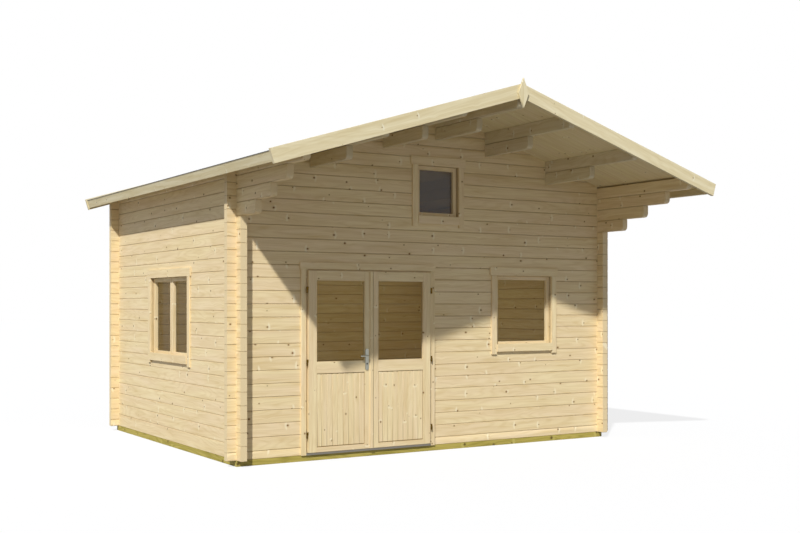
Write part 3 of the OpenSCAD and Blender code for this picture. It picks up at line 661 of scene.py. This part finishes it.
def bead_frame(bm, spot, width, height, bead):
    """A mitred bead round a pane, on its outer face."""
    off_pane = 0.0004
    verts = bmesh.ops.create_grid(bm, x_segments=1, y_segments=1, size=0.5)["verts"]
    bmesh.ops.scale(bm, vec=(width, height, 1), verts=verts)
    bmesh.ops.rotate(bm, matrix=Matrix.Rotation(math.pi / 2, 3, "X"), verts=verts)
    bmesh.ops.translate(bm, vec=(width / 2, -off_pane, height / 2), verts=verts)
    face = verts[0].link_faces[0]
    around = bmesh.ops.inset_region(bm, faces=[face], thickness=bead, use_even_offset=True)["faces"]
    bmesh.ops.delete(bm, geom=[face], context="FACES")
    out = bmesh.ops.extrude_face_region(bm, geom=around)["geom"]
    front = [g for g in out if isinstance(g, bmesh.types.BMVert)]
    bmesh.ops.translate(bm, vec=(0, -bead, 0), verts=front)
    inner = [e for e in ordered(e for v in front for e in v.link_edges)
             if all(v in front for v in e.verts)
             and all(bead * 0.5 < v.co.x < width - bead * 0.5 for v in e.verts)
             and len(e.link_faces) == 2 and e.calc_face_angle(0) > 1.0]
    whole = {v for f in around for v in f.verts} | set(front)
    before = set(bm.verts) - whole
    ease(bm, inner, bead * 0.6, segments=3)
    bmesh.ops.transform(bm, matrix=spot, verts=[v for v in bm.verts if v not in before])


# ---------------------------------------------------------------- operators


class CABIN_OT_logs(bpy.types.Operator):
    """Gives the walls, gables, brackets and purlins their wood"""

    bl_idname = "cabin.logs"
    bl_label = "Walls and Purlins"

    def execute(self, context):
        for number, node in enumerate(LOG_NODES):
            material = shaded_purlin_timber() if node.endswith(("purlin", "purlins")) else spruce_logs()
            dress_logs(node, material, context.scene.cabin_sizes.log_end, seed=100 + number)
        return {"FINISHED"}


class CABIN_OT_base(bpy.types.Operator):
    """Gives the beams and joists under the cabin their treated wood"""

    bl_idname = "cabin.base"
    bl_label = "Base Beams"

    def execute(self, context):
        for number, node in enumerate(("base_beams", "floor_joists")):
            dress_boards(node, treated_beams(), context.scene.cabin_sizes.edge, seed=200 + number)
        return {"FINISHED"}


class CABIN_OT_floor(bpy.types.Operator):
    """Lays the floor boards"""

    bl_idname = "cabin.floor"
    bl_label = "Floor Boards"

    def execute(self, context):
        sizes = context.scene.cabin_sizes
        low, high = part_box("floor_deck")
        count = round((high.y - low.y) / sizes.floor_board)
        step = (high.y - low.y) / count
        bm = bmesh.new()
        for i in range(count):
            block(bm, Vector((low.x, low.y + i * step + SEAM, low.z)),
                  Vector((high.x, low.y + (i + 1) * step - SEAM, high.z)), sizes.edge)
        mark_grain(bm, 300)
        place_piece(bm, "floor_boards", spruce_boards(), ("floor_deck",))
        return {"FINISHED"}


class CABIN_OT_roof_boards(bpy.types.Operator):
    """Lays the roof boards from eave to ridge, with a fine V between them below"""

    bl_idname = "cabin.roof_boards"
    bl_label = "Roof Boards"

    def execute(self, context):
        v_edge = 0.0007
        for number, node in enumerate(("roof_deck_left", "roof_deck_right")):
            low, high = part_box(node)
            count = round((high.y - low.y) / context.scene.cabin_sizes.roof_board)
            step = (high.y - low.y) / count
            bm = joined(node)
            for i in range(1, count):
                cut = cut_through(bm, (0, low.y + i * step, 0), (0, 1, 0))
                bmesh.ops.split_edges(bm, edges=[g for g in cut if isinstance(g, bmesh.types.BMEdge)])
                fill_holes(bm)
            lengthwise = [e for e in sharp_edges(bm.faces) if e.calc_length() > LONG_EDGE
                          and abs((e.verts[0].co - e.verts[1].co).y) < step * 0.1]
            ease(bm, lengthwise, v_edge)
            mark_grain(bm, 320 + number, PITCH)
            place_piece(bm, node + "_boards", roof_matchboard(), (node,))
        return {"FINISHED"}


class CABIN_OT_felt(bpy.types.Operator):
    """Lays the felt on each slope in courses that lap over each other"""

    bl_idname = "cabin.felt"
    bl_label = "Roofing Felt"

    def execute(self, context):
        roll = context.scene.cabin_sizes.felt_roll
        lap, lift, off_ridge, same_edge = 0.08, 0.0025, 0.0001, 0.001
        for node, side in (("roof_felt_left", -1), ("roof_felt_right", 1)):
            low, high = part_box(node)
            up = Matrix.Rotation(PITCH if side < 0 else -PITCH, 3, "Y")
            bm = joined(node)
            first, last = corners(bm.faces, up)
            bm.free()
            thick, centre = last.z - first.z, (first.z + last.z) / 2
            bm = bmesh.new()
            eave, ridge = (first.x, last.x) if side < 0 else (last.x, first.x)
            run = abs(ridge - eave)
            for course in range(math.ceil(run / roll)):
                start = course * roll
                stop = min(start + roll + lap, run)
                a, b = eave - side * start, eave - side * stop
                block(bm, Vector((min(a, b), low.y, first.z)), Vector((max(a, b), high.y, last.z)))
            # Each course's lower edge rides on the one below, and its upper edge thins under the one above.
            for faces in solids(bm):
                verts = {v for f in faces for v in f.verts}
                lower = min(abs(v.co.x - eave) for v in verts)
                for vert in verts:
                    near = abs(vert.co.x - eave)
                    if near - lower < same_edge:
                        vert.co.z += thick * 0.3 + lift if lower > 0.01 else 0.0
                    elif near - lower > same_edge and vert.co.z > centre and near < run - same_edge:
                        vert.co.z -= thick * 0.4
            bmesh.ops.transform(bm, matrix=up.inverted().to_4x4(), verts=bm.verts)
            cut_through(bm, (side * off_ridge, 0, 0), (-side, 0, 0), clear_outer=True)
            fill_holes(bm)
            place_piece(bm, node + "_courses", mineral_felt(), (node,))
        return {"FINISHED"}


class CABIN_OT_trim(bpy.types.Operator):
    """Gives the eave boards, bargeboards and the diamond board their wood and eased edges"""

    bl_idname = "cabin.trim"
    bl_label = "Roof Trim"

    def execute(self, context):
        edge = context.scene.cabin_sizes.edge
        for number, node in enumerate(("eave_boards", "front_bargeboards", "rear_bargeboards")):
            dress_boards(node, roof_trim(), edge, PITCH, seed=400 + number)
        dress_boards("finial", roof_trim(), edge * 2, seed=410)
        return {"FINISHED"}


class CABIN_OT_casings(bpy.types.Operator):
    """Gives the casing boards and the door frame their wood and eased edges"""

    bl_idname = "cabin.casings"
    bl_label = "Casings"

    def execute(self, context):
        edge = context.scene.cabin_sizes.edge
        names = ("door_frame", "door_casing", "front_window_casing", "gable_window_casing",
                 "side_window_casing")
        for number, node in enumerate(names):
            dress_boards(node, spruce_boards(), edge, seed=500 + number)
        return {"FINISHED"}


class CABIN_OT_windows(bpy.types.Operator):
    """Builds the window frames and sashes from their members, with beads and panes"""

    bl_idname = "cabin.windows"
    bl_label = "Windows"

    def execute(self, context):
        sizes = context.scene.cabin_sizes
        for number, name in enumerate(("front_window", "gable_window", "side_window")):
            source = joined(name)
            bm = bmesh.new()
            groups = solids(source)
            outer = max(groups, key=lambda g: corners(g)[1].z - corners(g)[0].z)
            reveal = set()
            for faces in groups:
                for low, high in members(faces, 0.0 if faces is outer else sizes.sash_gap):
                    made = block(bm, low, high, sizes.edge)
                    if faces is outer:
                        reveal |= made
            source.free()
            for spot, width, height in pane_spots(name + "_glass"):
                bead_frame(bm, spot, width, height, sizes.bead)
            mark_grain(bm, 600 + number)
            # The outer frame's upright inner faces stand deep in the wall, so they take painted shade.
            outwards = 0 if name == "side_window" else 1
            upright = {f for f in reveal if abs(f.normal[outwards]) < SQUARE and abs(f.normal.z) < SQUARE}
            paint_shade(bm, upright, 1.0)
            place_piece(bm, name + "_joinery", spruce_boards(), (name,))
            finish_node(name + "_glass", sky_painted_glass() if name == "gable_window" else float_glass())
        return {"FINISHED"}


class CABIN_OT_door_leaves(bpy.types.Operator):
    """Builds both door leaves: members, boarded panels, beads, panes and the cover strip"""

    bl_idname = "cabin.door_leaves"
    bl_label = "Door Leaves"

    def execute(self, context):
        sizes = context.scene.cabin_sizes
        # Grooves beside and above a panel, its boards' bevel, and half of the backing behind them, which is
        # painted dark as shade in the grooves.
        groove, level_groove, bevel, backing = 0.0045, 0.008, 0.0032, 0.001
        near_meeting, strip_edge = 0.0015, 0.002
        for number, name in enumerate(("left_leaf", "right_leaf")):
            source = joined(name)
            groups = sorted(solids(source), key=lambda g: corners(g)[1].z - corners(g)[0].z)
            low, high = corners(groups[0])
            outline = corners(groups[-1])
            bm = bmesh.new()
            for first, last in members(groups[-1]):
                block(bm, first, last, sizes.edge)
            source.free()
            heart = low.lerp(high, 0.5).y
            # The backing behind the grooves and the faces along the meeting edge take painted shade.
            shaded_faces = block(bm, Vector((low.x, heart - backing, low.z)),
                           Vector((high.x, heart + backing, high.z)))
            meeting = outline[1 - number].x
            shaded_faces |= {f for f in bm.faces if abs(f.calc_center_median().x - meeting) < near_meeting}
            edges = [low.x + groove]
            while edges[-1] < high.x - groove - sizes.panel_board * 0.4:
                edges.append(edges[-1] + (sizes.panel_board if len(edges) > 1 else sizes.panel_first))
            edges[-1] = high.x - groove
            for a, b in zip(edges, edges[1:]):
                block(bm, Vector((a + SEAM, low.y, low.z + level_groove)),
                      Vector((b - SEAM, high.y, high.z - level_groove)), bevel)
            for spot, width, height in pane_spots(name + "_glass"):
                bead_frame(bm, spot, width, height, sizes.door_bead)
            mark_grain(bm, 700 + number, joints=True)
            paint_shade(bm, shaded_faces)
            place_piece(bm, name + "_joinery", spruce_boards(), (name,))
            finish_node(name + "_glass", float_glass())
        dress_boards("cover_strip", spruce_boards(), strip_edge, seed=710)
        return {"FINISHED"}


def disc(bm, place, radius, depth, edge, segments=1):
    """A round disc that faces the front, with eased edges."""
    bmesh.ops.create_cone(bm, cap_ends=True, segments=32, radius1=radius, radius2=radius, depth=depth,
                          matrix=Matrix.Translation(place) @ Matrix.Rotation(math.pi / 2, 4, "X"))
    ease(bm, sharp_edges(bm.faces), edge, segments)


def lever_shape(bm, low, high):
    """A round rose, a neck out of it, an elbow, and a round grip that ends in a dome."""
    rose, grip, elbow, rose_depth, neck_start = (high.z - low.z) / 2, 0.008, 0.014, 0.006, 0.005
    level, spindle, bar = (low.z + high.z) / 2, high.x - rose, low.y + grip
    disc(bm, (spindle, high.y - rose_depth / 2, level), rose, rose_depth, 0.001, segments=2)
    made = bmesh.ops.create_circle(bm, cap_ends=True, radius=grip, segments=24,
                                   matrix=Matrix.Translation((spindle, high.y - neck_start, level))
                                   @ Matrix.Rotation(math.pi / 2, 4, "X"))
    tip = made["verts"][0].link_faces[0]
    step = bmesh.ops.extrude_discrete_faces(bm, faces=[tip])["faces"]
    bmesh.ops.translate(bm, vec=(0, bar + elbow - high.y + neck_start, 0), verts=step[0].verts)
    turned = bmesh.ops.spin(bm, geom=step, cent=(spindle - elbow, bar + elbow, level), axis=(0, 0, 1),
                            angle=-math.pi / 2, steps=8)["geom_last"]
    tip = next(g for g in turned if isinstance(g, bmesh.types.BMFace))
    dome, end = grip * 0.35, low.x + grip * 0.7
    for reach, width in ((tip.calc_center_median().x - end, 1.0), (dome, 0.86), (dome, 0.45)):
        tip = bmesh.ops.extrude_discrete_faces(bm, faces=[tip])["faces"][0]
        bmesh.ops.translate(bm, vec=(-reach, 0, 0), verts=tip.verts)
        bmesh.ops.scale(bm, vec=(1, width, width), verts=tip.verts,
                        space=Matrix.Translation(-tip.calc_center_median()))
    bmesh.ops.remove_doubles(bm, verts=bm.verts, dist=WELD)


class CABIN_OT_door_metal(bpy.types.Operator):
    """Finishes the threshold, hinges and lock plate, and shapes the lever"""

    bl_idname = "cabin.door_metal"
    bl_label = "Door Metalwork"

    def execute(self, context):
        silver = brushed_metal("satin_anodised_aluminium", "#A2A399", 0.34)
        sill = brushed_metal("extruded_mill_aluminium", "#8F8A80", 0.48, lines=300.0)
        steel = brushed_metal("dulled_passivated_steel", "#6B521F", 0.5)
        finish_node("threshold", sill)
        finish_node("lock_plate", silver)
        for node in ("frame_hinges", "left_leaf_hinges", "right_leaf_hinges"):
            finish_node(node, steel)
        low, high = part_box("lock_plate")
        plate_mid, bore, below, proud = low.lerp(high, 0.5), 0.0085, 0.0465, 0.0015
        bm = bmesh.new()
        disc(bm, (plate_mid.x, low.y - proud, plate_mid.z - below), bore, 0.004, 0.0008)
        brass = brushed_metal("blackened_brass", "#3B3A30", 0.4)
        place_piece(bm, "lock_cylinder", brass, ride_with="lock_plate")
        bm = bmesh.new()
        lever_shape(bm, *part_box("lever"))
        place_piece(bm, "door_lever", silver, ("lever",))
        return {"FINISHED"}


def seen_tree(owner):
    """Empties a node tree, and adds what tells a ray that looks at its owner from light that only bounces."""
    owner.use_nodes = True
    tree = owner.node_tree
    tree.nodes.clear()
    path = add(tree, "ShaderNodeLightPath").outputs
    seen = add(tree, "ShaderNodeMath", {0: path["Is Camera Ray"], 1: path["Is Glossy Ray"]},
               operation="ADD").outputs[0]
    seen = add(tree, "ShaderNodeMath", {0: seen, 1: path["Is Transmission Ray"]}, operation="ADD",
               use_clamp=True).outputs[0]
    return tree, seen


def aim(scene, name, data, place, direction):
    """Puts a lamp or camera in the scene, looking in a direction."""
    made = bpy.data.objects.new(name, data)
    made.rotation_euler = Vector(direction).to_track_quat("-Z", "Y").to_euler()
    made.location = place
    scene.collection.objects.link(made)
    return made


class CABIN_OT_stage(bpy.types.Operator):
    """Sets the floor, the lamps, the surroundings and the camera"""

    bl_idname = "cabin.stage"
    bl_label = "Stage"

    def execute(self, context):
        scene, stage = context.scene, context.scene.cabin_stage
        scene.view_settings.view_transform = "Standard"
        # The floor lies half a millimetre under the beams and reaches past every view.
        reach, under = 90.0, 0.0005
        bm = bmesh.new()
        bmesh.ops.create_grid(bm, x_segments=1, y_segments=1, size=reach,
                              matrix=Matrix.Translation((0, 0, -under)))
        mesh = bpy.data.meshes.new("floor")
        bm.to_mesh(mesh)
        bm.free()
        floor = bpy.data.objects.new("floor", mesh)
        scene.collection.objects.link(floor)

        # Seen, the floor is white with a light shadow; the light that it throws back is a mid grey's.
        paint = bpy.data.materials.new("pale_floor")
        tree, seen = seen_tree(paint)
        share = add(tree, "ShaderNodeMath", {0: seen, 1: 0.80}, operation="MULTIPLY").outputs[0]
        grey = add(tree, "ShaderNodeMix", {0: seen, 6: rgba((0.26,) * 3), 7: rgba((0.9,) * 3)},
                   data_type="RGBA").outputs[2]
        plain = add(tree, "ShaderNodeBsdfDiffuse", {"Color": grey}).outputs[0]
        white = add(tree, "ShaderNodeEmission", {"Color": rgba((1, 1, 1)), "Strength": 1.0}).outputs[0]
        both = add(tree, "ShaderNodeMixShader", {0: share, 1: plain, 2: white}).outputs[0]
        add(tree, "ShaderNodeOutputMaterial", {"Surface": both})
        mesh.materials.append(paint)

        world = bpy.data.worlds.new("studio")
        tree, seen = seen_tree(world)
        even = add(tree, "ShaderNodeBackground",
                   {"Color": rgba((0.95, 0.98, 1.06)), "Strength": stage.fill}).outputs[0]
        white = add(tree, "ShaderNodeBackground", {"Color": rgba((1, 1, 1)), "Strength": 1.0}).outputs[0]
        both = add(tree, "ShaderNodeMixShader", {0: seen, 1: even, 2: white}).outputs[0]
        add(tree, "ShaderNodeOutputWorld", {"Surface": both})
        scene.world = world

        key = bpy.data.lights.new("key", "SUN")
        key.energy, key.angle = stage.key, stage.key_size
        aim(scene, "key", key, place=(-6, -8, 8), direction=(1.0, 0.974, -1.276))

        # A dim lamp under the roof shows the room's walls through the panes; it stays inside the walls.
        room = bpy.data.lights.new("room", "AREA")
        room.shape, room.size, room.size_y = "RECTANGLE", 4.2, 3.2
        room.energy, room.color, room.spread = stage.room, (0.97, 0.97, 0.71), math.pi
        aim(scene, "room", room, place=(0, 0, 2.1), direction=(0, 0.05, -1))

        lens = bpy.data.cameras.new("camera")
        lens.lens, lens.sensor_width, lens.shift_y = stage.lens, 36.0, 0.0468
        scene.camera = aim(scene, "camera", lens, place=(-6.80, -12.04, 1.614), direction=(0.528, 0.849, 0))
        return {"FINISHED"}


class CABIN_PT_cabin(bpy.types.Panel):
    """Lists the cabin's settings and pieces"""

    bl_label = "Log Cabin"
    bl_idname = "CABIN_PT_cabin"
    bl_space_type = "VIEW_3D"
    bl_region_type = "UI"
    bl_category = "Cabin"

    def draw(self, context):
        for settings in (context.scene.cabin_timber, context.scene.cabin_sizes, context.scene.cabin_stage):
            box = self.layout.box()
            for key in settings.__annotations__:
                box.prop(settings, key)
        for operator in OPERATORS:
            self.layout.operator(operator.bl_idname)


SETTINGS = (CabinTimber, CabinSizes, CabinStage)
OPERATORS = (
    CABIN_OT_logs, CABIN_OT_base, CABIN_OT_floor, CABIN_OT_roof_boards, CABIN_OT_felt, CABIN_OT_trim,
    CABIN_OT_casings, CABIN_OT_windows, CABIN_OT_door_leaves, CABIN_OT_door_metal, CABIN_OT_stage,
)


def register():
    """Makes the settings, operators and panel known."""
    for kind in SETTINGS + OPERATORS + (CABIN_PT_cabin,):
        bpy.utils.register_class(kind)
    bpy.types.Scene.cabin_timber = PointerProperty(type=CabinTimber)
    bpy.types.Scene.cabin_sizes = PointerProperty(type=CabinSizes)
    bpy.types.Scene.cabin_stage = PointerProperty(type=CabinStage)


def unregister():
    """Takes the settings, operators and panel away again."""
    del bpy.types.Scene.cabin_timber, bpy.types.Scene.cabin_sizes, bpy.types.Scene.cabin_stage
    for kind in (CABIN_PT_cabin,) + OPERATORS[::-1] + SETTINGS:
        bpy.utils.unregister_class(kind)


def main():
    """Builds every piece and the stage."""
    register()
    bpy.ops.cabin.logs()
    bpy.ops.cabin.base()
    bpy.ops.cabin.floor()
    bpy.ops.cabin.roof_boards()
    bpy.ops.cabin.felt()
    bpy.ops.cabin.trim()
    bpy.ops.cabin.casings()
    bpy.ops.cabin.windows()
    bpy.ops.cabin.door_leaves()
    bpy.ops.cabin.door_metal()
    bpy.ops.cabin.stage()
    bpy.context.view_layer.update()


if __name__ == "__main__":
    main()
